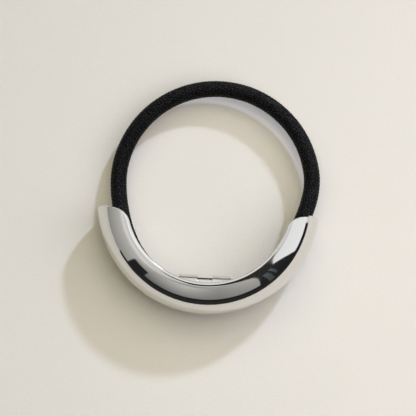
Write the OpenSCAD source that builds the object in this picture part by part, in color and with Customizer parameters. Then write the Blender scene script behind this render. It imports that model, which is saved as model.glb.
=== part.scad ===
// Hair tie: a round elastic loop that runs through the hollow back of a domed metal cuff.
// Millimetres, +Z up. The tie lies on the plane z = 0 on the cuff's lower bend, with the cuff
// towards -Y. The origin is the middle of its footprint.

/* [Cuff] */
// Radius of the two rim edges, measured from the centre of the cuff's arc
rim_r = 20.1; // [19.7:0.1:20.5]
// Radius of the crown line, where the dome is highest
crown_r = 21.2; // [21:0.1:21.6]
// Radius of the outermost line of the dome, at half its height
outer_r = 27.5; // [27.2:0.1:28.5]
// Height of the dome, from its lower bend to its upper bend
cuff_h = 17; // [16.5:0.1:17.5]
// Thickness of the metal
wall = 0.9; // [0.7:0.05:1]
// Half of the angle that the cuff covers
half_angle = 85; // [78:1:86]
// Plan radius of the end corners beside the rims
rim_corner_r = 5; // [3:0.1:5.5]

/* [Elastic] */
// Diameter of the covered elastic
elastic_d = 4; // [3.5:0.1:4]
// Radius of the free part's centreline
loop_r = 24.1; // [23.6:0.1:24.1]
// Sideways offset of the free part's centre from the centre of the cuff's arc
loop_x = 1.3; // [0:0.1:1.3]
// Offset of the free part's centre away from the cuff
loop_y = 4.9; // [4.4:0.1:5.4]
// Radius of the centreline where the cuff holds it
held_r = 22; // [21.6:0.1:22.2]
// Height of the free part's centreline above the surface, at its middle
loop_z = 5.2; // [4.8:0.1:6]
// Sideways lean of the loop, in degrees: its -X side is the lower one
lean_x = 1.4; // [0:0.1:3]
// How much higher the elastic runs inside the cuff than beside it
held_rise = 3; // [1:0.1:3.5]

/* [Clip] */
// Distance of the clip's straight axis from the centre of the cuff's arc
clip_y = 20.5; // [20.4:0.1:20.6]
// Length of the clip along the elastic
clip_l = 12.6; // [11:0.1:13]
// Width of each of the two bands that wrap the elastic
band_w = 4.4; // [3:0.1:4.8]
// Thickness of the clip's sheet metal
clip_t = 0.5; // [0.4:0.05:0.6]
// Gap all round between a band and the elastic
band_gap = 0.25; // [0.22:0.01:0.3]
// Direction that the strip between the bands faces, in degrees up from the dome's side
strip_turn = 42; // [35:1:50]
// Distance of that strip's two edges from a plane through the clip's axis
strip_cut = 0.35; // [0:0.05:1]
// Diameter of the post that carries the clip on the cuff
post_d = 3; // [2:0.1:3.2]
// Glue line between the post and the inside of the cuff
glue_gap = 0.1; // [0.05:0.01:0.2]

/* [Hidden] */
$fn = 96;

// The dome's half section is half an ellipse that starts a little inside the crown line.
dome_depth = outer_r - crown_r;
bead_r = wall * 0.55;
section_reach = 2 * cuff_h;
// Angle at which an end corner's arc meets the end and the rim, so that it cuts both cleanly.
corner_cross = 15;

// Centreline of the elastic in plan, as a radius about the centre of the cuff's arc.
held_blend = 0.3;
elastic_rings = 96;
elastic_sides = 16;
elastic_r = elastic_d / 2;
far_reach = loop_y + loop_r + elastic_r;
// Places between which the cuff's hold on the elastic grows, from the centre of the cuff's arc.
hold_start = 9;
hold_end = -20;
// The footprint runs from the dome's outermost line to the far side of the elastic.
footprint_shift = (outer_r - far_reach) / 2;
clip_z = loop_height(0, -clip_y);

band_bore_r = elastic_r + band_gap;
band_outer_r = band_bore_r + clip_t;
strip_l = clip_l - 2 * band_w;
// The post starts in the clip's sheet, this far outside its bore.
post_root = 0.05;

// Smooth minimum of two lengths; blend is how wide the change-over is.
function soft_min(a, b, blend) = (a + b - sqrt((a - b) ^ 2 + blend ^ 2)) / 2;

// Distance from the cuff's centre to the free circle, in direction t.
function free_radius(t) =
    let (along = loop_x * cos(t) + loop_y * sin(t))
    along + sqrt(loop_r ^ 2 - loop_x ^ 2 - loop_y ^ 2 + along ^ 2);

// Inside the cuff the elastic is straight through the clip and follows the rims beside it.
function held_radius(t) =
    let (towards_cuff = max(-sin(t), 0.5))
    soft_min(clip_y / towards_cuff, held_r, held_blend);

// Rises smoothly from 0 to 1 as the share does.
function smooth_step(share) =
    let (s = max(0, min(1, share)))
    s * s * (3 - 2 * s);

// How far the elastic has come into the cuff's hold, from 0 to 1, at a distance along Y.
function hold(y) = smooth_step((hold_start - y) / (hold_start - hold_end));

function loop_radius(t) =
    let (free = free_radius(t))
    free + hold(free * sin(t)) * (held_radius(t) - free);

function loop_height(x, y) = loop_z + (x - loop_x) * tan(lean_x) + held_rise * hold(y);

function loop_point(t) =
    let (x = loop_radius(t) * cos(t), y = loop_radius(t) * sin(t))
    [x, y, loop_height(x, y)];

// One ring of the swept elastic: a regular polygon square to the centreline.
function loop_ring(t) =
    let (
        middle = loop_point(t),
        ahead = loop_point(t + 1) - loop_point(t - 1),
        along = ahead / norm(ahead),
        side = cross(along, [0, 0, 1]),
        out = side / norm(side),
        up = cross(out, along)
    )
    [for (k = [0 : elastic_sides - 1])
        let (a = 360 * k / elastic_sides)
        middle + elastic_r * (cos(a) * out + sin(a) * up)];

// Everything is drawn about the centre of the cuff's arc and then moved onto the footprint's middle.
module on_footprint() {
    translate([0, footprint_shift, 0]) children();
}

// Filled half oval of the dome, taken in by an even distance.
module oval_fill(inset) {
    translate([crown_r, 0])
        scale([dome_depth - inset, cuff_h / 2 - inset]) circle(1);
}

// Section of the metal: an oval wall, open towards the centre, with a round bead along each rim.
module shell_section() {
    difference() {
        oval_fill(0);
        oval_fill(wall);
        translate([rim_r + bead_r - section_reach, -section_reach / 2])
            square(section_reach);
    }
    for (side = [-1, 1])
        translate([rim_r + bead_r, side * (cuff_h / 2 - bead_r)]) circle(bead_r);
}

// Cutter that rounds the rims' corner at an end of the cuff; that end lies along +X.
module corner_cutter() {
    inset = rim_corner_r * cos(corner_cross);
    reach = rim_r + inset;
    turn = asin(inset / reach);
    inner = rim_r * 0.8;
    translate([0, 0, -1])
        linear_extrude(cuff_h + 2)
            difference() {
                polygon([
                    [inner, -rim_corner_r],
                    [reach * cos(turn), -rim_corner_r],
                    [reach * cos(turn), inset],
                    [inner * cos(turn), inner * sin(turn)]
                ]);
                translate([reach * cos(turn), inset]) circle(rim_corner_r);
            }
}

// Domed shell with an open, curled back and rounded ends.
module cuff_shell() {
    color([0.82, 0.82, 0.80])
        on_footprint()
            difference() {
                translate([0, 0, cuff_h / 2])
                    rotate(270 - half_angle)
                        rotate_extrude(angle = 2 * half_angle) shell_section();
                rotate(270 - half_angle) corner_cutter();
                mirror([1, 0, 0]) rotate(270 - half_angle) corner_cutter();
            }
}

// Sheet-metal sleeve along X: a full band at each end, and between them only a strip on the
// upper side and the dome's side.
module clip_sleeve() {
    reach = 2 * band_outer_r;
    difference() {
        rotate([0, 90, 0]) cylinder(r = band_outer_r, h = clip_l, center = true);
        rotate([0, 90, 0]) cylinder(r = band_bore_r, h = clip_l + 2, center = true);
        rotate([-strip_turn, 0, 0])
            translate([-strip_l / 2, -strip_cut, -reach])
                cube([strip_l, 2 * reach, 2 * reach]);
    }
}

// Post from the clip's strip out to the inside of the dome, which its end follows.
module clip_post() {
    intersection() {
        translate([0, -clip_y - band_bore_r - post_root, clip_z])
            rotate([90, 0, 0]) cylinder(d = post_d, h = outer_r);
        translate([0, 0, cuff_h / 2])
            rotate_extrude() oval_fill(wall + glue_gap);
    }
}

// Sleeve round the elastic, carried by a post.
module retaining_clip() {
    color([0.74, 0.74, 0.73])
        on_footprint() {
            translate([0, -clip_y, clip_z]) rotate([0, -lean_x, 0]) clip_sleeve();
            clip_post();
        }
}

// Closed loop of covered elastic, swept ring by ring along its centreline.
module elastic_loop() {
    points = [for (i = [0 : elastic_rings - 1]) each loop_ring(360 * i / elastic_rings)];
    faces = [
        for (i = [0 : elastic_rings - 1], k = [0 : elastic_sides - 1])
            let (
                next_i = (i + 1) % elastic_rings,
                next_k = (k + 1) % elastic_sides
            )
            [
                i * elastic_sides + k,
                i * elastic_sides + next_k,
                next_i * elastic_sides + next_k,
                next_i * elastic_sides + k
            ]
    ];
    color([0.06, 0.06, 0.06])
        on_footprint() polyhedron(points, faces, convexity = 6);
}

cuff_shell();
retaining_clip();
elastic_loop();
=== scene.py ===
"""A hair tie: an endless ring of braided elastic that runs through a domed, polished metal cuff.

Lengths are in metres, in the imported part's own frame: +Z is up, the tie lies on z = 0 and its cuff
is towards -Y. Angles in the plan are counted from +X towards +Y.
"""

import logging
import math
from dataclasses import dataclass, field
from enum import Enum
from typing import Callable

import bmesh
import bpy
from mathutils import Matrix, Vector


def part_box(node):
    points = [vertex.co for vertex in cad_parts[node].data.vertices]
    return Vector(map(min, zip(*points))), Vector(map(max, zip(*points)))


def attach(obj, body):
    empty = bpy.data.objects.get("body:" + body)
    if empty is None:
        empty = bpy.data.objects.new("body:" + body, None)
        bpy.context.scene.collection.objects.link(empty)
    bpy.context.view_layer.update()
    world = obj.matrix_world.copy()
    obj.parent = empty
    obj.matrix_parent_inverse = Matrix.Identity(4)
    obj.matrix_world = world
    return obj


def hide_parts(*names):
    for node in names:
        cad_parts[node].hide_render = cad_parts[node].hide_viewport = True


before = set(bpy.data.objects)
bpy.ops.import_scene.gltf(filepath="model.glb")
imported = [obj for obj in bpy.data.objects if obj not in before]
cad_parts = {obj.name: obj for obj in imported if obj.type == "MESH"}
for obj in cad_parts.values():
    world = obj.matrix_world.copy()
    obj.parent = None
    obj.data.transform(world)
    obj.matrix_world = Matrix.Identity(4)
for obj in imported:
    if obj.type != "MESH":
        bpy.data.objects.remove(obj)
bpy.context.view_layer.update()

log = logging.getLogger("hair_tie")

MM = 0.001
BODY = "root"
SEAM = 1e-7
Socket = bpy.types.NodeSocket
Colour = tuple[float, float, float]


class Slot(Enum):
    """The record's material slots."""

    CUFF = "polished_metal"
    CLIP = "clip_metal"
    COVER = "elastic_cover"


class Side(Enum):
    """The two sides of the tie, as a sign along X."""

    LEFT = -1
    RIGHT = 1


class Lamp(Enum):
    """The kinds of light."""

    SUN = "SUN"
    AREA = "AREA"


class Tint(Enum):
    """The colours of the studio's panels."""

    PLAIN = (1.0, 1.0, 1.0)
    WARM = (1.0, 0.975, 0.93)
    COOL = (0.985, 0.995, 1.0)
    SHADE = (0.85, 0.95, 1.0)


def soft_min(a: float, b: float, blend: float) -> float:
    """The smaller of two lengths, with a smooth change-over that is `blend` wide."""
    return (a + b - math.hypot(a - b, blend)) / 2


def smooth_step(share: float) -> float:
    """Rises smoothly from 0 to 1 as the share does."""
    held = min(max(share, 0.0), 1.0)
    return held * held * (3 - 2 * held)


def lay_grid(
    mesh: bmesh.types.BMesh, columns: int, rows: int, place: Callable[[int, int], Vector]
) -> list[tuple[bmesh.types.BMVert, int, int]]:
    """Makes a grid and moves each of its points onto a surface.

    Args:
        mesh: The bmesh that gets the grid, with a UV map that runs from 0 to 1 each way.
        columns: Faces along the grid's first direction.
        rows: Faces along its second direction.
        place: Gives the point of the surface for a column and a row.

    Returns:
        Each vertex with its column and row.
    """
    mesh.loops.layers.uv.new("UVMap")
    made = bmesh.ops.create_grid(mesh, x_segments=columns, y_segments=rows, size=0.5, calc_uvs=True)
    laid = []
    for vert in made["verts"]:
        column, row = round((vert.co.x + 0.5) * columns), round((vert.co.y + 0.5) * rows)
        vert.co = place(column, row)
        laid.append((vert, column, row))
    return laid


def close_and_smooth(mesh: bmesh.types.BMesh) -> None:
    """Merges the seams of a closed surface, turns its faces outwards and shades it smooth."""
    bmesh.ops.remove_doubles(mesh, verts=mesh.verts, dist=SEAM)
    bmesh.ops.recalc_face_normals(mesh, faces=mesh.faces)
    for face in mesh.faces:
        face.smooth = True


def as_object(mesh: bmesh.types.BMesh, name: str) -> bpy.types.Object:
    """Turns a bmesh into a linked object of that name and frees the bmesh."""
    data = bpy.data.meshes.new(name)
    mesh.to_mesh(data)
    mesh.free()
    made = bpy.data.objects.new(name, data)
    bpy.context.scene.collection.objects.link(made)
    return made


def fuse(parts: list[bpy.types.Object], name: str) -> bpy.types.Object:
    """Unites closed solids into one.

    Args:
        parts: The solids, which are removed afterwards.
        name: The name of the fused object.

    Returns:
        The fused object.
    """
    base = parts[0]
    for other in parts[1:]:
        union = base.modifiers.new(other.name, "BOOLEAN")
        union.operation = "UNION"
        union.solver = "EXACT"
        union.object = other
    shape = base.evaluated_get(bpy.context.evaluated_depsgraph_get())
    data = bpy.data.meshes.new_from_object(shape)
    data.name = name
    made = bpy.data.objects.new(name, data)
    bpy.context.scene.collection.objects.link(made)
    for part in parts:
        bpy.data.meshes.remove(part.data)
    return made


class NodeSketch:
    """A short hand for wiring up a material's nodes."""

    def __init__(self, name: str) -> None:
        """Starts a material with a Principled shader, which is self.shader."""
        self.material = bpy.data.materials.new(name)
        self.material.use_nodes = True
        self.nodes = self.material.node_tree.nodes
        self.links = self.material.node_tree.links
        self.shader = self.nodes["Principled BSDF"]

    def add(self, kind: str, **settings: object) -> bpy.types.Node:
        """Adds a node of a kind, such as "TexNoise", and sets its properties."""
        node = self.nodes.new("ShaderNode" + kind)
        for name, value in settings.items():
            setattr(node, name, value)
        return node

    def join(self, source: Socket, target: Socket) -> None:
        """Links an output socket to an input socket."""
        self.links.new(source, target)

    def math(self, operation: str, first: Socket | float, second: Socket | float) -> Socket:
        """Combines two sockets or numbers and returns the result's socket."""
        node = self.add("Math", operation=operation)
        for socket, value in zip(node.inputs, (first, second)):
            if isinstance(value, (int, float)):
                socket.default_value = value
            else:
                self.join(value, socket)
        return node.outputs[0]

    def noise(self, scale: float, detail: float, source: Socket | None = None) -> Socket:
        """A noise on object coordinates, or on `source`, with `scale` features a metre."""
        node = self.add("TexNoise")
        node.inputs["Scale"].default_value = scale
        node.inputs["Detail"].default_value = detail
        self.join(source or self.add("TexCoord").outputs["Object"], node.inputs["Vector"])
        return node.outputs["Fac"]

    def spread(self, source: Socket, low: float, high: float) -> Socket:
        """Maps a value from 0..1 to low..high."""
        node = self.add("MapRange")
        node.inputs["To Min"].default_value = low
        node.inputs["To Max"].default_value = high
        self.join(source, node.inputs["Value"])
        return node.outputs["Result"]

    def colours(self, source: Socket, dark: Colour, light: Colour) -> Socket:
        """A colour between two, chosen by a value from 0 to 1."""
        node = self.add("Mix", data_type="RGBA")
        self.join(source, node.inputs["Factor"])
        node.inputs["A"].default_value = (*dark, 1.0)
        node.inputs["B"].default_value = (*light, 1.0)
        return node.outputs["Result"]

    def bump(self, height: Socket, distance: float = 1.0) -> None:
        """Gives the shader a relief that is `height` times `distance` high, in metres."""
        node = self.add("Bump")
        node.inputs["Distance"].default_value = distance
        self.join(height, node.inputs["Height"])
        self.join(node.outputs["Normal"], self.shader.inputs["Normal"])


@dataclass(frozen=True)
class MetalFinish:
    """A plated metal with fine hairlines and a slightly uneven surface.

    Attributes:
        name: The material's name.
        colour: Its brightest colour.
        roughness: Roughness between the hairlines and on them.
        wave_height: Height of the surface's slow unevenness.
        hairline_height: Height of the hairlines.
        dull_share: Brightness of the dullest patches, as a share of the colour.
        patch_scale: Dull patches a metre.
        wave_scale: Waves a metre.
        hairline_scale: Hairline features a metre, along each axis.
        hairline_turn: Turn of the hairlines about each axis, in radians.
    """

    name: str
    colour: Colour
    roughness: tuple[float, float]
    wave_height: float
    hairline_height: float
    dull_share: float = 0.96
    patch_scale: float = 260.0
    wave_scale: float = 330.0
    hairline_scale: tuple[float, float, float] = (900.0, 9000.0, 9000.0)
    hairline_turn: tuple[float, float, float] = (0.4, 0.3, 0.5)

    def make(self) -> bpy.types.Material:
        """Builds the material."""
        sketch = NodeSketch(self.name)
        sketch.shader.inputs["Metallic"].default_value = 1.0
        dull = tuple(self.dull_share * c for c in self.colour)
        patches = sketch.noise(self.patch_scale, 3.0)
        sketch.join(sketch.colours(patches, dull, self.colour), sketch.shader.inputs["Base Color"])
        hairlines = self.hairlines(sketch)
        rough = sketch.spread(hairlines, *self.roughness)
        sketch.join(rough, sketch.shader.inputs["Roughness"])
        waves = sketch.math("MULTIPLY", sketch.noise(self.wave_scale, 1.0), self.wave_height)
        lines = sketch.math("MULTIPLY", hairlines, self.hairline_height)
        sketch.bump(sketch.math("ADD", waves, lines))
        return sketch.material

    def hairlines(self, sketch: NodeSketch) -> Socket:
        """Fine polishing lines, as a value from 0 to 1."""
        stretch = sketch.add("Mapping")
        stretch.inputs["Scale"].default_value = self.hairline_scale
        stretch.inputs["Rotation"].default_value = self.hairline_turn
        sketch.join(sketch.add("TexCoord").outputs["Object"], stretch.inputs["Vector"])
        return sketch.noise(1.0, 1.0, stretch.outputs["Vector"])


@dataclass(frozen=True)
class BraidFinish:
    """Matt black yarn: fibres along each strand, a little fuzz, and lighter flecks kept to the strands'
    crowns, which are a painted highlight.

    Attributes:
        name: The material's name.
        dark: The yarn's colour.
        light: Its colour at the fullest painted highlight on the strands' crowns.
        strands: Strands of each set, counted round the elastic.
        picks: Strands of each set, counted along it.
        fibres: Fibres across a strand.
        fibre_height: Height of the fibres and the fuzz.
        lint_scale: Features of the fuzz a metre.
        patch_scale: Patches a metre, which make the painted highlight uneven.
        fleck_scale: Flecks of painted highlight a metre.
        fleck_spread: What the flecks' noise runs from and to; below 0 there is no painted highlight.
        crown_power: How closely the painted highlight keeps to the strands' crowns.
        roughness: Least and most roughness.
        gloss: Specular level where there is no highlight fleck and where the fleck is full.
        sheen: Weight of the yarn's sheen.
        sheen_roughness: Roughness of that sheen.
    """

    name: str
    dark: Colour
    light: Colour
    strands: int
    picks: int
    fibres: int = 6
    fibre_height: float = 0.02 * MM
    lint_scale: float = 3600.0
    patch_scale: float = 1100.0
    fleck_scale: float = 2600.0
    fleck_spread: tuple[float, float] = (-1.4, 2.6)
    crown_power: float = 2.0
    roughness: tuple[float, float] = (0.3, 0.52)
    gloss: tuple[float, float] = (0.02, 0.4)
    sheen: float = 0.02
    sheen_roughness: float = 0.5

    def make(self) -> bpy.types.Material:
        """Builds the material, which follows the piece's UV map, `over` and `crown` attributes."""
        sketch = NodeSketch(self.name)
        fibres = self.fibre_lines(sketch)
        lint = sketch.noise(self.lint_scale, 3.0)
        highlight_mask = self.painted_highlight_flecks(sketch)
        patches = sketch.noise(self.patch_scale, 3.0)
        texture = sketch.math("MULTIPLY", sketch.math("ADD", fibres, lint), patches)
        shade = sketch.math("MULTIPLY", texture, highlight_mask)
        # Painted highlight: the colour lightens from dark towards light where the crown flecks are.
        sketch.join(sketch.colours(shade, self.dark, self.light), sketch.shader.inputs["Base Color"])
        sketch.join(sketch.spread(lint, *self.roughness), sketch.shader.inputs["Roughness"])
        sketch.join(sketch.spread(highlight_mask, *self.gloss), sketch.shader.inputs["Specular IOR Level"])
        sketch.shader.inputs["Sheen Weight"].default_value = self.sheen
        sketch.shader.inputs["Sheen Roughness"].default_value = self.sheen_roughness
        sketch.bump(sketch.math("ADD", fibres, lint), self.fibre_height)
        return sketch.material

    def painted_highlight_flecks(self, sketch: NodeSketch) -> Socket:
        """Flecks of painted highlight on the strands' crowns, from 0 upwards."""
        crown = sketch.add("Attribute", attribute_name="crown").outputs["Fac"]
        noise = sketch.noise(self.fleck_scale, 2.0)
        flecks = sketch.math("MAXIMUM", sketch.spread(noise, *self.fleck_spread), 0.0)
        return sketch.math("MULTIPLY", sketch.math("POWER", crown, self.crown_power), flecks)

    def fibre_lines(self, sketch: NodeSketch) -> Socket:
        """Lines along the strand that is on top, as a value from 0 to 1."""
        axes = sketch.add("SeparateXYZ")
        sketch.join(sketch.add("UVMap", uv_map="UVMap").outputs["UV"], axes.inputs["Vector"])
        around = sketch.math("MULTIPLY", axes.outputs["X"], float(self.strands))
        along = sketch.math("MULTIPLY", axes.outputs["Y"], float(self.picks))
        over = sketch.add("Attribute", attribute_name="over").outputs["Fac"]
        lines = []
        for operation in ("ADD", "SUBTRACT"):
            across = sketch.math(operation, along, around)
            turns = sketch.math("MULTIPLY", across, math.tau * self.fibres)
            wave = sketch.math("SINE", turns, 0.0)
            lines.append(sketch.spread(wave, 0.25, 0.75))
        pick = sketch.add("Mix", data_type="FLOAT")
        sketch.join(over, pick.inputs["Factor"])
        sketch.join(lines[1], pick.inputs["A"])
        sketch.join(lines[0], pick.inputs["B"])
        return pick.outputs["Result"]


@dataclass(frozen=True)
class PaperFinish:
    """Pale, warm, matt paper with a faint grain.

    Attributes:
        name: The material's name.
        colour: Its brightest colour.
        dull_share: Brightness of the grain's dullest spots, as a share of the colour.
        grain_scale: Features of the grain a metre.
        grain_height: Height of the grain.
        roughness: Roughness.
        gloss: Specular level.
    """

    name: str
    colour: Colour
    dull_share: float = 0.9
    grain_scale: float = 3200.0
    grain_height: float = 0.06 * MM
    roughness: float = 0.9
    gloss: float = 0.1

    def make(self) -> bpy.types.Material:
        """Builds the material."""
        sketch = NodeSketch(self.name)
        grain = sketch.noise(self.grain_scale, 2.0)
        dull = tuple(self.dull_share * c for c in self.colour)
        sketch.join(sketch.colours(grain, dull, self.colour), sketch.shader.inputs["Base Color"])
        sketch.shader.inputs["Roughness"].default_value = self.roughness
        sketch.shader.inputs["Specular IOR Level"].default_value = self.gloss
        sketch.bump(grain, self.grain_height)
        return sketch.material


@dataclass(frozen=True)
class SectionRow:
    """One section of the cuff's wall.

    Attributes:
        angle: Turn from -Y about the arc's centre, in radians.
        tip_r: Radius at which the middle of the wall ends, at the top and at the bottom.
        half_wall: Half of the wall's thickness here.
    """

    angle: float
    tip_r: float
    half_wall: float


@dataclass
class Cuff:
    """The domed metal shell, open along its inner side.

    Attributes:
        rim_r: Radius of the two rim edges about the centre of the cuff's arc.
        crown_r: Radius of the crown line, where the dome is highest.
        outer_r: Radius of the dome's outermost line.
        height: Height of the dome.
        wall: Thickness of the metal.
        half_angle: Half of the angle that the cuff covers.
        corner_r: Radius of the end corners beside the rims.
        wall_columns: Faces across the wall's section, on each side of it.
        edge_columns: Faces round each rim.
        arc_rows: Faces along the arc, between the corners.
        corner_rows: Faces along each corner.
        end_rows: Faces round each end's edge.
        finish: The metal.
        centre_y: Where the centre of the cuff's arc is.
    """

    rim_r: float = 20.1 * MM
    crown_r: float = 21.2 * MM
    outer_r: float = 27.5 * MM
    height: float = 17 * MM
    wall: float = 0.9 * MM
    half_angle: float = math.radians(85)
    corner_r: float = 5 * MM
    wall_columns: int = 72
    edge_columns: int = 8
    arc_rows: int = 150
    corner_rows: int = 18
    end_rows: int = 6
    finish: MetalFinish = MetalFinish(
        "polished_metal", (0.76, 0.755, 0.74), (0.03, 0.07), 0.004 * MM, 0.00002 * MM
    )
    centre_y: float = field(init=False)

    def __post_init__(self) -> None:
        """Finds the centre of the cuff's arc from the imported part."""
        self.centre_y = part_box("cuff_shell")[0].y + self.outer_r

    def end_sections(self) -> list[SectionRow]:
        """The sections of one end, from its edge to where the corner has run out into the rim."""
        half = self.wall / 2
        bend = self.corner_r - half
        rim = self.rim_r + half
        turn_r = rim + bend / 2
        rows = []
        for step in range(self.end_rows):
            roll = math.pi / 2 * (1 - step / self.end_rows)
            gap = half * (1 - math.sin(roll))
            rows.append(SectionRow(self.half_angle - gap / turn_r, rim + bend, half * math.cos(roll)))
        for step in range(self.corner_rows + 1):
            roll = math.pi / 2 * step / self.corner_rows
            gap = half + bend * (1 - math.cos(roll))
            rows.append(
                SectionRow(self.half_angle - gap / turn_r, rim + bend * (1 - math.sin(roll)), half)
            )
        return rows

    def sections(self) -> list[SectionRow]:
        """All the sections, from the -X end to the +X end."""
        end = self.end_sections()
        start = end[-1]
        left = [SectionRow(-row.angle, row.tip_r, row.half_wall) for row in end]
        middle = [
            SectionRow(start.angle * (2 * step / self.arc_rows - 1), start.tip_r, start.half_wall)
            for step in range(1, self.arc_rows)
        ]
        return left + middle + end[::-1]

    def wall_point(self, row: SectionRow, column: int) -> Vector:
        """A point of the wall's surface.

        Args:
            row: The section that it is on.
            column: Its number on the section: down the outside, round the lower edge, up the
                inside and round the upper edge.

        Returns:
            The point in the part's frame.
        """
        half = self.wall / 2
        depth, rise = self.outer_r - self.crown_r - half, self.height / 2 - half
        tip = math.asin((row.tip_r - self.crown_r) / depth)
        side, place = divmod(column, self.wall_columns + self.edge_columns)
        if place <= self.wall_columns:
            share = place / self.wall_columns
            roll = 0.0
        else:
            share = 1.0
            roll = math.pi * (place - self.wall_columns) / self.edge_columns
        if side % 2:
            share = 1.0 - share
            roll += math.pi
        bend = tip + (math.pi - 2 * tip) * share
        out = Vector((math.sin(bend) / depth, math.cos(bend) / rise)).normalized()
        down = Vector((depth * math.cos(bend), -rise * math.sin(bend))).normalized()
        middle = Vector((self.crown_r + depth * math.sin(bend), self.height / 2 + rise * math.cos(bend)))
        on = middle + row.half_wall * (math.cos(roll) * out + math.sin(roll) * down)
        return Vector((on.x * math.sin(row.angle), self.centre_y - on.x * math.cos(row.angle), on.y))

    def inner_r(self, height: float, gap: float) -> float:
        """Radius of the dome's inside at a height, taken in by a gap."""
        inset = self.wall + gap
        share = (height - self.height / 2) / (self.height / 2 - inset)
        return self.crown_r + (self.outer_r - self.crown_r - inset) * math.sqrt(1 - share**2)

    def build(self) -> bpy.types.Object:
        """Makes the shell."""
        rows = self.sections()
        mesh = bmesh.new()
        columns = 2 * (self.wall_columns + self.edge_columns)
        lay_grid(mesh, columns, len(rows) - 1, lambda column, row: self.wall_point(rows[row], column))
        close_and_smooth(mesh)
        return as_object(mesh, "cuff")

    def dress(self, shell: bpy.types.Object) -> None:
        """Polishes the shell and ties it to the part."""
        shell.data.materials.append(self.finish.make())
        settle(shell, Slot.CUFF, "cuff_shell")


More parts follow.
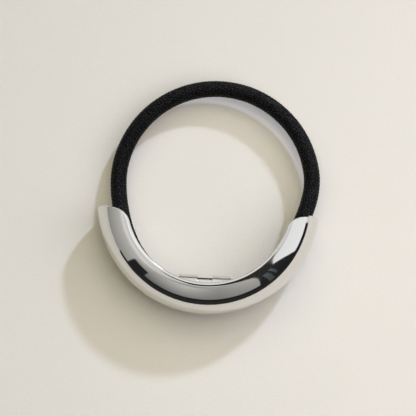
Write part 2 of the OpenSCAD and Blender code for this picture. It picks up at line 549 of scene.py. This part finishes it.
@dataclass
class ElasticLoop:
    """The endless elastic: a braided cover over a round core.

    Attributes:
        centre_y: Where the centre of the cuff's arc is, about which the path is described.
        thickness: Diameter of the covered elastic.
        loop_r: Radius of the free part's centreline.
        loop_x: Sideways offset of the free part's centre.
        loop_y: Offset of the free part's centre away from the cuff.
        held_r: Radius of the centreline where the cuff holds it.
        held_y: Distance of its straight stretch in the clip.
        loop_z: Height of the free part's centreline, at its middle.
        lean_x: Sideways lean; the -X side is the lower one.
        held_rise: How much higher the elastic runs inside the cuff.
        hold_start: Place along Y at which the cuff's hold begins.
        hold_end: Place along Y at which it is full.
        held_blend: Width of the change-over at the ends of the straight stretch.
        least_towards: Least share of -Y in a direction that still sets the straight stretch.
        strands: Strands of each set, counted round the elastic.
        picks: Strands of each set, counted along it.
        floats: How many strands each one passes over, and then under.
        points_per_strand: Faces across a strand, round the elastic.
        points_per_pick: Faces across a strand, along it.
        relief: Height of the strands over the core.
        fullness: How far the strands stand out beyond the elastic's radius.
        dip: Height of a strand where it dives under, as a share of the relief.
        roundness: Power that rounds a strand's section.
        path_steps: Steps in which the centreline is measured.
        tangent_step: Turn to each side over which the centreline's direction is taken.
        dark: The yarn's colour.
        light: Its colour at the fullest painted highlight on the strands' crowns.
        lengths: Length of the centreline up to each step.
    """

    centre_y: float
    thickness: float = 4 * MM
    loop_r: float = 24.1 * MM
    loop_x: float = 1.3 * MM
    loop_y: float = 4.9 * MM
    held_r: float = 22 * MM
    held_y: float = 20.5 * MM
    loop_z: float = 5.2 * MM
    lean_x: float = math.radians(1.4)
    held_rise: float = 3 * MM
    hold_start: float = 9 * MM
    hold_end: float = -20 * MM
    held_blend: float = 0.3 * MM
    least_towards: float = 0.5
    strands: int = 16
    picks: int = 190
    floats: int = 2
    points_per_strand: int = 5
    points_per_pick: int = 4
    relief: float = 0.2 * MM
    fullness: float = 0.04 * MM
    dip: float = 0.4
    roundness: float = 0.7
    path_steps: int = 720
    tangent_step: float = math.radians(1)
    dark: Colour = (0.001, 0.001, 0.001)
    light: Colour = (0.011, 0.011, 0.011)
    lengths: list[float] = field(init=False)

    def __post_init__(self) -> None:
        """Measures the centreline."""
        self.lengths = [0.0]
        for step in range(self.path_steps):
            here, ahead = (self.middle(math.tau * (step + k) / self.path_steps) for k in (0, 1))
            self.lengths.append(self.lengths[-1] + (ahead - here).length)

    def radius(self, turn: float) -> float:
        """Distance of the centreline from the cuff's centre, in direction `turn`."""
        along = self.loop_x * math.cos(turn) + self.loop_y * math.sin(turn)
        free = along + math.sqrt(self.loop_r**2 - self.loop_x**2 - self.loop_y**2 + along**2)
        towards_cuff = max(-math.sin(turn), self.least_towards)
        held = soft_min(self.held_y / towards_cuff, self.held_r, self.held_blend)
        return free + self.hold(free * math.sin(turn)) * (held - free)

    def hold(self, y: float) -> float:
        """How far the elastic has come into the cuff's hold, from 0 to 1, at a distance along Y."""
        return smooth_step((self.hold_start - y) / (self.hold_start - self.hold_end))

    def level(self, x: float, y: float) -> float:
        """Height of the centreline above the surface, at a place about the cuff's centre."""
        across = (x - self.loop_x) * math.tan(self.lean_x)
        return self.loop_z + across + self.held_rise * self.hold(y)

    def middle(self, turn: float) -> Vector:
        """A point of the centreline, in the part's frame."""
        r = self.radius(turn)
        x, y = r * math.cos(turn), r * math.sin(turn)
        return Vector((x, y + self.centre_y, self.level(x, y)))

    def turn_at(self, share: float) -> float:
        """The direction of the point that lies at a share of the whole length."""
        wanted = share * self.lengths[-1]
        low, high = 0, self.path_steps
        while high - low > 1:
            half = (low + high) // 2
            low, high = (half, high) if self.lengths[half] <= wanted else (low, half)
        part = (wanted - self.lengths[low]) / (self.lengths[high] - self.lengths[low])
        return math.tau * (low + part) / self.path_steps

    def ring_frame(self, share: float) -> tuple[Vector, Vector, Vector]:
        """Middle, outward and upward directions of the cross-section at a share of the length."""
        turn = self.turn_at(share)
        ahead, behind = self.middle(turn + self.tangent_step), self.middle(turn - self.tangent_step)
        along = (ahead - behind).normalized()
        out = along.cross(Vector((0, 0, 1))).normalized()
        return self.middle(turn), out, out.cross(along)

    def strand(self, along: float, around: float) -> tuple[float, bool]:
        """The braid at a place of the cover, counted in picks and strands.

        Args:
            along: Place along the elastic.
            around: Place round it.

        Returns:
            The cover's height, 0 in the gaps and 1 on the crowns, and whether the first set of
            strands is on top there.
        """
        repeat = 2 * self.floats
        first, second = along + around, along - around
        first_on_top = (math.floor(first) + math.floor(second)) % repeat < self.floats
        if first_on_top:
            width = first % 1
            share = ((math.floor(first) + second) % repeat) / self.floats
        else:
            width = second % 1
            share = ((first + math.floor(second)) % repeat) / self.floats - 1
        crown = self.dip + (1 - self.dip) * math.sqrt(max(0.0, math.sin(math.pi * share)))
        return crown * max(0.0, math.sin(math.pi * width)) ** self.roundness, first_on_top

    def build(self) -> bpy.types.Object:
        """Makes the braided cover."""
        columns, rows = self.strands * self.points_per_strand, self.picks * self.points_per_pick
        frames = [self.ring_frame((row % rows) / rows) for row in range(rows + 1)]
        core = self.thickness / 2 + self.fullness - self.relief

        def braid(column: int, row: int) -> tuple[float, bool]:
            """Height and upper strand at a column and a row, the same on both sides of a seam."""
            along, around = row % rows, column % columns
            return self.strand(along / self.points_per_pick, around / self.points_per_strand)

        def place(column: int, row: int) -> Vector:
            """The cover's point at a column and a row."""
            middle, out, up = frames[row]
            roll = math.tau * (column % columns) / columns
            r = core + self.relief * braid(column, row)[0]
            return middle + r * (math.cos(roll) * out + math.sin(roll) * up)

        mesh = bmesh.new()
        over, crown = (mesh.verts.layers.float.new(name) for name in ("over", "crown"))
        for vert, column, row in lay_grid(mesh, columns, rows, place):
            # The crown height also sets where the material paints its highlight on the strands.
            vert[crown], vert[over] = braid(column, row)
        close_and_smooth(mesh)
        return as_object(mesh, "elastic_cover")

    def dress(self, cover: bpy.types.Object) -> None:
        """Dyes the cover black and ties it to the part."""
        finish = BraidFinish("elastic_cover", self.dark, self.light, self.strands, self.picks)
        cover.data.materials.append(finish.make())
        settle(cover, Slot.COVER, "elastic_loop")


@dataclass
class RetainingClip:
    """A sleeve of two bands round the elastic with a strip between them, on a post in the dome.

    Attributes:
        cuff: The cuff, which the post reaches.
        elastic: The elastic, which the sleeve holds.
        length: Length of the sleeve.
        band_w: Width of each band.
        sheet: Thickness of the sheet metal.
        band_gap: Gap all round between a band and the elastic.
        lip: How far the bands' edges flare.
        lip_power: How closely the flare keeps to the edges.
        squareness: Power that squares the sheet's section, with rounded edges; 1 is round.
        strip_turn: Direction that the strip faces, up from the dome's side.
        strip_cut: Distance of the strip's two edges from a plane through the sleeve's axis.
        strip_root: How far the strip reaches into each band.
        post_r: Radius of the post.
        post_root: Distance of the post's near end outside the sleeve's bore.
        glue_gap: Gap between the post and the inside of the dome.
        band_sides: Faces round a band.
        section_sides: Faces round the sheet's section.
        post_sides: Faces round the post.
        finish: The metal.
    """

    cuff: Cuff
    elastic: ElasticLoop
    length: float = 12.6 * MM
    band_w: float = 4.4 * MM
    sheet: float = 0.5 * MM
    band_gap: float = 0.25 * MM
    lip: float = 0.14 * MM
    lip_power: int = 6
    squareness: float = 0.35
    strip_turn: float = math.radians(42)
    strip_cut: float = 0.35 * MM
    strip_root: float = 0.4 * MM
    post_r: float = 1.5 * MM
    post_root: float = 0.05 * MM
    glue_gap: float = 0.1 * MM
    band_sides: int = 72
    section_sides: int = 40
    post_sides: int = 48
    finish: MetalFinish = MetalFinish(
        "clip_metal", (0.78, 0.78, 0.77), (0.12, 0.3), 0.002 * MM, 0.0002 * MM
    )

    @property
    def bore_r(self) -> float:
        """Radius inside a band."""
        return self.elastic.thickness / 2 + self.band_gap

    @property
    def middle(self) -> Vector:
        """The middle of the clip's straight axis."""
        level = self.elastic.level(0.0, -self.elastic.held_y)
        return Vector((0, self.elastic.centre_y - self.elastic.held_y, level))

    def sheet_section(self, mesh: bmesh.types.BMesh, width: float, lip: float) -> None:
        """Draws the rounded section of a strip of sheet, at its place beyond the bore.

        Args:
            mesh: The bmesh that gets the section's ring.
            width: The strip's width along the elastic.
            lip: How far the strip's two edges flare outwards.
        """
        made = bmesh.ops.create_circle(mesh, segments=self.section_sides, radius=1.0, cap_ends=False)
        half_w, half_t = width / 2, self.sheet / 2
        for vert in made["verts"]:
            roll = math.atan2(vert.co.y, vert.co.x)
            across = math.copysign(abs(math.cos(roll)) ** self.squareness, math.cos(roll))
            deep = math.copysign(abs(math.sin(roll)) ** self.squareness, math.sin(roll))
            flare = lip * abs(across) ** self.lip_power
            vert.co = Vector((half_w * across, self.bore_r + half_t + half_t * deep + flare, 0))

    def band(self, side: Side) -> bpy.types.Object:
        """One band: a rounded strip with flared lips, spun round the elastic."""
        mesh = bmesh.new()
        self.sheet_section(mesh, self.band_w, self.lip)
        bmesh.ops.spin(
            mesh, geom=mesh.verts[:] + mesh.edges[:], cent=(0, 0, 0), axis=(1, 0, 0),
            angle=math.tau, steps=self.band_sides, use_merge=True,
        )
        shift = side.value * (self.length - self.band_w) / 2
        bmesh.ops.translate(mesh, verts=mesh.verts, vec=(shift, 0, 0))
        close_and_smooth(mesh)
        return self.tilted(as_object(mesh, f"{side.name.lower()}_band"))

    def strip(self) -> bpy.types.Object:
        """The strip between the bands, on the upper side and the dome's side of the elastic."""
        mesh = bmesh.new()
        self.sheet_section(mesh, self.length - 2 * self.band_w + 2 * self.strip_root, 0.0)
        half_turn = math.acos(self.strip_cut / (self.bore_r + self.sheet / 2))
        facing = math.pi - self.strip_turn
        start = Matrix.Rotation(facing - half_turn, 3, "X")
        bmesh.ops.rotate(mesh, verts=mesh.verts, matrix=start)
        bmesh.ops.spin(
            mesh, geom=mesh.verts[:] + mesh.edges[:], cent=(0, 0, 0), axis=(1, 0, 0),
            angle=2 * half_turn, steps=self.band_sides // 2,
        )
        bmesh.ops.holes_fill(mesh, edges=[edge for edge in mesh.edges if edge.is_boundary], sides=0)
        close_and_smooth(mesh)
        return self.tilted(as_object(mesh, "strip"))

    def tilted(self, piece: bpy.types.Object) -> bpy.types.Object:
        """Puts a piece of the clip in place, leaning as the elastic does."""
        lean = Matrix.Rotation(-self.elastic.lean_x, 4, "Y")
        piece.data.transform(Matrix.Translation(self.middle) @ lean)
        return piece

    def post(self) -> bpy.types.Object:
        """The post, whose far end follows the inside of the dome."""
        mesh = bmesh.new()
        bmesh.ops.create_cone(
            mesh, cap_ends=True, segments=self.post_sides,
            radius1=self.post_r, radius2=self.post_r, depth=1.0,
        )
        bmesh.ops.rotate(mesh, verts=mesh.verts, matrix=Matrix.Rotation(math.pi / 2, 3, "X"))
        near = self.middle.y - self.bore_r - self.post_root
        for vert in mesh.verts:
            far_end = vert.co.y < 0
            x, z = vert.co.x, vert.co.z + self.middle.z
            dome = self.cuff.centre_y - math.sqrt(self.cuff.inner_r(z, self.glue_gap) ** 2 - x**2)
            vert.co = Vector((x, dome if far_end else near, z))
        close_and_smooth(mesh)
        return as_object(mesh, "post")

    def build(self) -> bpy.types.Object:
        """Makes the clip as one solid."""
        return fuse([self.strip(), self.band(Side.LEFT), self.band(Side.RIGHT), self.post()], "clip")

    def dress(self, clip: bpy.types.Object) -> None:
        """Finishes the clip and ties it to the part."""
        clip.data.materials.clear()
        clip.data.materials.append(self.finish.make())
        settle(clip, Slot.CLIP, "retaining_clip")


def settle(piece: bpy.types.Object, slot: Slot, *nodes: str) -> None:
    """Makes a piece ride the part's body and stand for CAD nodes."""
    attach(piece, BODY)
    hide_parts(*nodes)


@dataclass(frozen=True)
class GlowPanel:
    """A panel of the studio, seen only in reflections: a patch of a dome round the tie.

    Attributes:
        name: What the panel is.
        azimuths: From and to, in degrees from +X towards +Y.
        zeniths: From and to, in degrees down from straight up.
        top: Brightness along its upper edge, at the first and the second azimuth.
        bottom: Brightness along its lower edge, likewise.
        tint: Colour.
        lean: How far the lower edge is turned on from the upper one, in degrees.
        radius: Distance from the tie.
        steps: Faces each way.
    """

    name: str
    azimuths: tuple[float, float]
    zeniths: tuple[float, float]
    top: tuple[float, float]
    bottom: tuple[float, float]
    tint: Tint = Tint.PLAIN
    lean: tuple[float, float] = (0.0, 0.0)
    radius: float = 0.6
    steps: int = 24

    def build(self) -> bpy.types.Object:
        """Makes the panel, with its brightness in its `glow` attribute."""

        def place(column: int, row: int) -> Vector:
            """A point of the dome."""
            across, down = column / self.steps, row / self.steps
            lean = self.lean[0] * (1 - across) + self.lean[1] * across
            turn = math.radians(
                self.azimuths[0] * (1 - across) + self.azimuths[1] * across + lean * down
            )
            zenith = math.radians(self.zeniths[0] * (1 - down) + self.zeniths[1] * down)
            flat = math.sin(zenith) * self.radius
            return Vector((flat * math.cos(turn), flat * math.sin(turn), self.radius * math.cos(zenith)))

        mesh = bmesh.new()
        glow = mesh.verts.layers.float_color.new("glow")
        for vert, column, row in lay_grid(mesh, self.steps, self.steps, place):
            across, down = column / self.steps, row / self.steps
            upper = self.top[0] * (1 - across) + self.top[1] * across
            lower = self.bottom[0] * (1 - across) + self.bottom[1] * across
            level = upper * (1 - down) + lower * down
            vert[glow] = (*(level * c for c in self.tint.value), 1.0)
        return as_object(mesh, self.name)


@dataclass(frozen=True)
class OverheadBar:
    """A dark bar that hangs level over the tie, seen only in reflections.

    Attributes:
        name: What the bar is.
        start: The middle of its one end, in the plan.
        end: The middle of its other end.
        width: Its width.
        height: Its height above the surface.
    """

    name: str
    start: tuple[float, float]
    end: tuple[float, float]
    width: float
    height: float = 0.12

    def sides(self) -> tuple[Vector, Vector, Vector]:
        """A corner of the bar, and its sides across and along."""
        start = Vector((*self.start, self.height))
        along = Vector((*self.end, self.height)) - start
        across = Vector((-along.y, along.x, 0)).normalized() * self.width
        return start - across / 2, across, along


@dataclass(frozen=True)
class StudioLight:
    """One light of the studio.

    Attributes:
        name: What the light is.
        kind: What kind of light.
        azimuth: Where it stands, in degrees from +X towards +Y.
        elevation: How high, in degrees.
        power: Blender's strength: W/m2 for a sun, W for an area.
        size: A sun's angle in degrees, or an area's side in metres.
        distance: From the tie.
        tint: Colour.
        mirrored: Whether it shows in reflections.
    """

    name: str
    kind: Lamp
    azimuth: float
    elevation: float
    power: float
    size: float
    distance: float = 1.0
    tint: Colour = (1.0, 1.0, 1.0)
    mirrored: bool = False

    def build(self) -> None:
        """Puts the light up, aimed at the tie."""
        data = bpy.data.lights.new(self.name, self.kind.value)
        data.energy = self.power
        data.color = self.tint
        if self.kind is Lamp.SUN:
            data.angle = math.radians(self.size)
        else:
            data.size = self.size
        lamp = bpy.data.objects.new(self.name, data)
        bpy.context.scene.collection.objects.link(lamp)
        turn, rise = math.radians(self.azimuth), math.radians(self.elevation)
        back = Vector((math.cos(turn) * math.cos(rise), math.sin(turn) * math.cos(rise), math.sin(rise)))
        lamp.location = back * self.distance
        lamp.rotation_mode = "QUATERNION"
        lamp.rotation_quaternion = back.to_track_quat("Z", "Y")
        lamp.visible_glossy = self.mirrored


PANELS = (
    GlowPanel("ceiling", (0, 360), (0, 9), (0.72, 0.72), (0.72, 0.72)),
    GlowPanel("backdrop", (0, 360), (8, 100), (0.03, 0.03), (0.015, 0.015), Tint.SHADE, radius=0.7),
    GlowPanel("window_wall", (-5, 62), (8, 92), (1.25, 1.25), (0.8, 0.8)),
    GlowPanel("far_wall", (62, 150), (8, 79), (1.0, 0.85), (0.8, 0.75), Tint.WARM),
    GlowPanel("left_wall_top", (150, 216), (8, 28), (0.95, 0.95), (0.56, 0.56), Tint.WARM),
    GlowPanel("left_wall", (150, 216), (28, 91), (0.56, 0.56), (0.3, 0.33), Tint.WARM),
    GlowPanel("left_wall_edge", (216, 229), (8, 45), (0.8, 0.55), (0.3, 0.3), Tint.WARM),
    GlowPanel("grey_wall_top", (229, 311), (2, 11), (0.3, 0.3), (0.42, 0.5), Tint.WARM, radius=0.58),
    GlowPanel("grey_wall_left", (229, 255), (9, 71), (0.5, 0.68), (0.14, 0.24), Tint.WARM, radius=0.59),
    GlowPanel(
        "grey_wall_middle", (255, 280), (9, 71), (0.68, 0.38), (0.24, 0.25), Tint.WARM, radius=0.59
    ),
    GlowPanel(
        "grey_wall_right", (280, 311), (9, 71), (0.38, 0.56), (0.25, 0.37), Tint.WARM, (0, -4), 0.59
    ),
    GlowPanel("dim_shelf", (313, 317), (34, 82), (0.14, 0.1), (0.08, 0.08), Tint.SHADE),
    GlowPanel("dim_shelf_edge", (319, 321), (30, 70), (0.16, 0.16), (0.06, 0.06), Tint.SHADE),
    GlowPanel("softbox", (323, 400), (2, 76), (0.95, 1.0), (1.05, 1.05), Tint.COOL, (14, 0), 0.57),
)

BARS = (
    OverheadBar("overhead_bar", (0.053, -0.049), (-0.0027, 0.0012), 0.0144),
    OverheadBar("overhead_bar_end", (-0.0005, -0.013), (-0.0005, 0.0045), 0.0075),
)

DAYLIGHT = (0.9, 1.0, 1.36)
ROOM_LIGHT = (1.05, 1.0, 0.79)

LIGHTS = (
    StudioLight("key", Lamp.SUN, 59.4, 36, 1.25, 4.5, tint=DAYLIGHT, mirrored=True),
    StudioLight("right_softbox", Lamp.AREA, 0, 57, 0.52, 0.3, distance=0.28, tint=(1.03, 1.0, 1.06)),
    StudioLight("overhead_glow", Lamp.SUN, 0, 90, 0.57, 34, tint=ROOM_LIGHT),
    StudioLight("far_glow", Lamp.SUN, 90, 55, 0.46, 34, tint=ROOM_LIGHT),
    StudioLight("far_left_glow", Lamp.SUN, 135, 55, 0.38, 34, tint=ROOM_LIGHT),
)


@dataclass
class Studio:
    """The floor, the light and the camera.

    Attributes:
        floor_size: Side of the square floor.
        ambient: Strength of the light from all round.
        ambient_tint: Its colour.
        dark: Brightness of the dark cards.
        table_edge_height: Height of the dark beyond the table's near edge.
        table_edge_y: Where that edge is.
        table_edge_x: From and to where it runs.
        azimuth: Where the camera stands, in degrees from -Y towards +X.
        elevation: How high it stands, in degrees.
        camera_distance: Its distance from what it is aimed at.
        pixel: Length of a pixel of the photograph at that distance.
        frame_pixels: Width of the photograph.
        aim: What the camera is aimed at.
        sensor: Width of the camera's sensor, in millimetres.
        view_depths: Nearest and farthest distance that the camera sees.
        paper: The floor's finish.
    """

    floor_size: float = 6.0
    ambient: float = 0.01
    ambient_tint: Colour = (1.0, 0.985, 0.965)
    dark: Colour = (0.028, 0.026, 0.024)
    table_edge_height: float = 0.03
    table_edge_y: float = -0.11
    table_edge_x: tuple[float, float] = (-0.2, 0.5)
    azimuth: float = 3.0
    elevation: float = 85.0
    camera_distance: float = 0.894
    pixel: float = 0.248 * MM
    frame_pixels: int = 416
    aim: tuple[float, float, float] = (-0.17 * MM, -2.72 * MM, 6.6 * MM)
    sensor: float = 36.0
    view_depths: tuple[float, float] = (0.01, 20.0)
    paper: PaperFinish = PaperFinish("paper", (0.768, 0.735, 0.654))

    def floor(self) -> None:
        """Lays the paper."""
        mesh = bmesh.new()
        bmesh.ops.create_grid(mesh, x_segments=1, y_segments=1, size=self.floor_size / 2)
        floor = as_object(mesh, "floor")
        floor.data.materials.append(self.paper.make())

    def glow_material(self) -> bpy.types.Material:
        """The panels' light, which follows their `glow` attribute."""
        material = bpy.data.materials.new("panel_glow")
        material.use_nodes = True
        nodes, links = material.node_tree.nodes, material.node_tree.links
        nodes.clear()
        glow = nodes.new("ShaderNodeAttribute")
        glow.attribute_name = "glow"
        light, out = nodes.new("ShaderNodeEmission"), nodes.new("ShaderNodeOutputMaterial")
        links.new(glow.outputs["Color"], light.inputs["Color"])
        links.new(light.outputs["Emission"], out.inputs["Surface"])
        return material

    def dark_card(self, name: str, corner: Vector, across: Vector, along: Vector) -> bpy.types.Object:
        """Makes a flat dark card, with its brightness in its `glow` attribute.

        Args:
            name: What the card is.
            corner: One of its corners.
            across: Its one side.
            along: Its other side.

        Returns:
            The card.
        """

        def place(column: int, row: int) -> Vector:
            """A corner of the card."""
            return corner + column * across + row * along

        mesh = bmesh.new()
        glow = mesh.verts.layers.float_color.new("glow")
        for vert, _, _ in lay_grid(mesh, 1, 1, place):
            vert[glow] = (*self.dark, 1.0)
        return as_object(mesh, name)

    def table_edge(self) -> bpy.types.Object:
        """The dark room beyond the near edge of the table, as a low straight card."""
        start, end = self.table_edge_x
        corner = Vector((start, self.table_edge_y, 0.0))
        across = Vector((end - start, 0.0, 0.0))
        return self.dark_card("table_edge", corner, across, Vector((0.0, 0.0, self.table_edge_height)))

    def reflections(self) -> None:
        """Puts up what only the metal's reflections see."""
        material = self.glow_material()
        edge = self.table_edge()
        bars = [self.dark_card(bar.name, *bar.sides()) for bar in BARS]
        walls = [panel.build() for panel in PANELS]
        for panel in [edge, *bars, *walls]:
            panel.data.materials.append(material)
            panel.visible_camera = panel.visible_diffuse = False
            panel.visible_shadow = panel.visible_transmission = False

    def surroundings(self) -> None:
        """Sets the soft, even light that fills the studio."""
        world = bpy.data.worlds.new("studio")
        bpy.context.scene.world = world
        world.use_nodes = True
        background = world.node_tree.nodes["Background"]
        background.inputs["Color"].default_value = (*self.ambient_tint, 1.0)
        background.inputs["Strength"].default_value = self.ambient
        for light in LIGHTS:
            light.build()

    def camera(self) -> None:
        """Sets the camera at the photograph's angle, a long way above the tie."""
        data = bpy.data.cameras.new("camera")
        camera = bpy.data.objects.new("camera", data)
        bpy.context.scene.collection.objects.link(camera)
        turn, rise = math.radians(self.azimuth), math.radians(self.elevation)
        back = Vector((math.sin(turn) * math.cos(rise), -math.cos(turn) * math.cos(rise), math.sin(rise)))
        camera.location = Vector(self.aim) + back * self.camera_distance
        camera.rotation_mode = "QUATERNION"
        camera.rotation_quaternion = back.to_track_quat("Z", "Y")
        data.sensor_width = self.sensor
        data.lens = self.sensor * self.camera_distance / (self.pixel * self.frame_pixels)
        data.clip_start, data.clip_end = self.view_depths
        bpy.context.scene.camera = camera

    def build(self) -> None:
        """Makes the whole studio."""
        self.floor()
        self.reflections()
        self.surroundings()
        self.camera()
        bpy.context.scene.view_settings.view_transform = "Standard"


def main() -> None:
    """Builds the tie and its studio."""
    logging.basicConfig(level=logging.INFO, format="%(name)s: %(message)s")
    cuff = Cuff()
    elastic = ElasticLoop(cuff.centre_y)
    clip = RetainingClip(cuff, elastic)
    for part in (cuff, elastic, clip):
        piece = part.build()
        part.dress(piece)
        triangles = sum(len(face.vertices) - 2 for face in piece.data.polygons)
        log.info("%s: %d triangles", piece.name, triangles)
    Studio().build()


if __name__ == "__main__":
    main()
